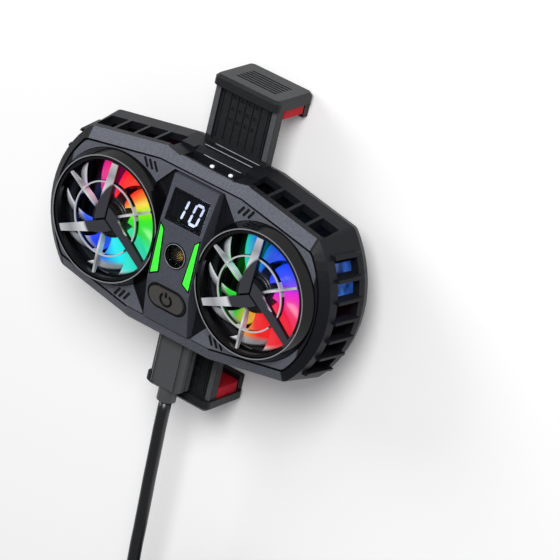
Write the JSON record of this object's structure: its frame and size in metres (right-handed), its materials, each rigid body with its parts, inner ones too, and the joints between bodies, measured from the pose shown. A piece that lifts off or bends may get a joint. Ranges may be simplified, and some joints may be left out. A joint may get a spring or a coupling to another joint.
{
  "type": "phone cooling fan",
  "caption": "Clip-on phone cooler: long housing with lit fans behind pinwheel guards, raised display panel, sprung hooked jaws with soft pads, and a detachable USB lead.",
  "frame": {"origin": "centre of the object's bounding box without its lead, at the bottom, where the lips of the jaws stand", "axes": "+X along the housing towards the right fan, +Y across it towards the upper jaw, +Z out of the fan mouths"},
  "size_m": [0.0981, 0.2241, 0.0313],
  "materials": {
    "shell_plastic": "fine moulded texture",
    "clamp_plastic": "satin",
    "plate_plastic": "fine speckled texture",
    "bezel_gloss": "gloss",
    "guard_silver": "silver coated",
    "rotor_clear": "clear, lit from the edge",
    "steel": "plain",
    "brass": "plain",
    "motor_dark": "plain",
    "guide_clear": "clear",
    "board_green": "lacquered",
    "aluminium": "plain",
    "ceramic_white": "plain",
    "silicone_grey": "soft",
    "smoked_glass": "polished",
    "lit_white": "lit",
    "lit_green": "lit",
    "rim_grey": "satin",
    "button_grey": "satin",
    "pad_red": "soft",
    "lead_black": "satin",
    "tie_black": "woven strap"
  },
  "bodies": {
    "housing": {"mid_frame": "shell_plastic", "rear_cover": "shell_plastic", "clamp_cover": "clamp_plastic", "front_plate": "plate_plastic", "bridge_panel": "plate_plastic", "fan_bezel_left": "bezel_gloss", "fan_bezel_right": "bezel_gloss", "fan_guard_left": "guard_silver", "fan_guard_right": "guard_silver", "case_screws": "steel", "upper_spring": "steel", "lower_spring": "steel", "usb_c_socket": "steel", "fan_bearing_left": "brass", "fan_bearing_right": "brass", "sensor_can": "brass", "fan_motor_left": "motor_dark", "fan_motor_right": "motor_dark", "button_switch": "motor_dark", "display_module": "motor_dark", "light_guide_left": "guide_clear", "light_guide_right": "guide_clear", "lamp_board_left": "board_green", "lamp_board_right": "board_green", "main_board": "board_green", "heat_sink_left": "aluminium", "heat_sink_right": "aluminium", "cold_plate_left": "aluminium", "cold_plate_right": "aluminium", "thermoelectric_left": "ceramic_white", "thermoelectric_right": "ceramic_white", "contact_pad_left": "silicone_grey", "contact_pad_right": "silicone_grey", "display_window": "smoked_glass", "sensor_lens": "smoked_glass", "display_digits": "lit_white", "indicator_lamps": "lit_white", "light_strip_left": "lit_green", "light_strip_right": "lit_green", "sensor_rim": "rim_grey"},
    "fan_left": {"fan_rotor_left": "rotor_clear", "fan_shaft_left": "steel"},
    "fan_right": {"fan_rotor_right": "rotor_clear", "fan_shaft_right": "steel"},
    "button": {"power_button": "button_grey"},
    "jaw_upper": {"upper_jaw": "clamp_plastic", "upper_pad": "pad_red"},
    "jaw_lower": {"lower_jaw": "clamp_plastic", "lower_pad": "pad_red"},
    "lead": {"usb_c_shell": "steel", "usb_c_body": "lead_black", "cable": "lead_black", "cable_coil": "lead_black", "cable_tie": "tie_black", "usb_a_body": "lead_black", "usb_a_shell": "steel"}
  },
  "joints": [
    {"name": "fan_left_spin", "type": "hinge", "parent": "housing", "child": "fan_left", "pos_m": [-0.024, 0, 0.0255], "axis": [0, 0, 1], "continuous": true},
    {"name": "fan_right_spin", "type": "hinge", "parent": "housing", "child": "fan_right", "pos_m": [0.024, 0, 0.0255], "axis": [0, 0, 1], "continuous": true},
    {"name": "button_press", "type": "slide", "parent": "housing", "child": "button", "axis": [0, 0, -1], "range_m": [0, 0.0004], "stiffness_N_per_m": 400, "springref_m": -0.0003},
    {"name": "jaw_upper_slide", "type": "slide", "parent": "housing", "child": "jaw_upper", "axis": [0, 1, 0], "range_m": [-0.0048, 0.0052], "stiffness_N_per_m": 300, "springref_m": -0.012, "deforming": ["upper_spring"]},
    {"name": "jaw_lower_slide", "type": "slide", "parent": "housing", "child": "jaw_lower", "axis": [0, -1, 0], "range_m": [-0.0048, 0.0052], "stiffness_N_per_m": 300, "springref_m": -0.012, "deforming": ["lower_spring"]},
    {"name": "plug_pull", "type": "slide", "parent": "housing", "child": "lead", "axis": [0, -1, 0], "range_m": [0, 0.0065]}
  ]
}
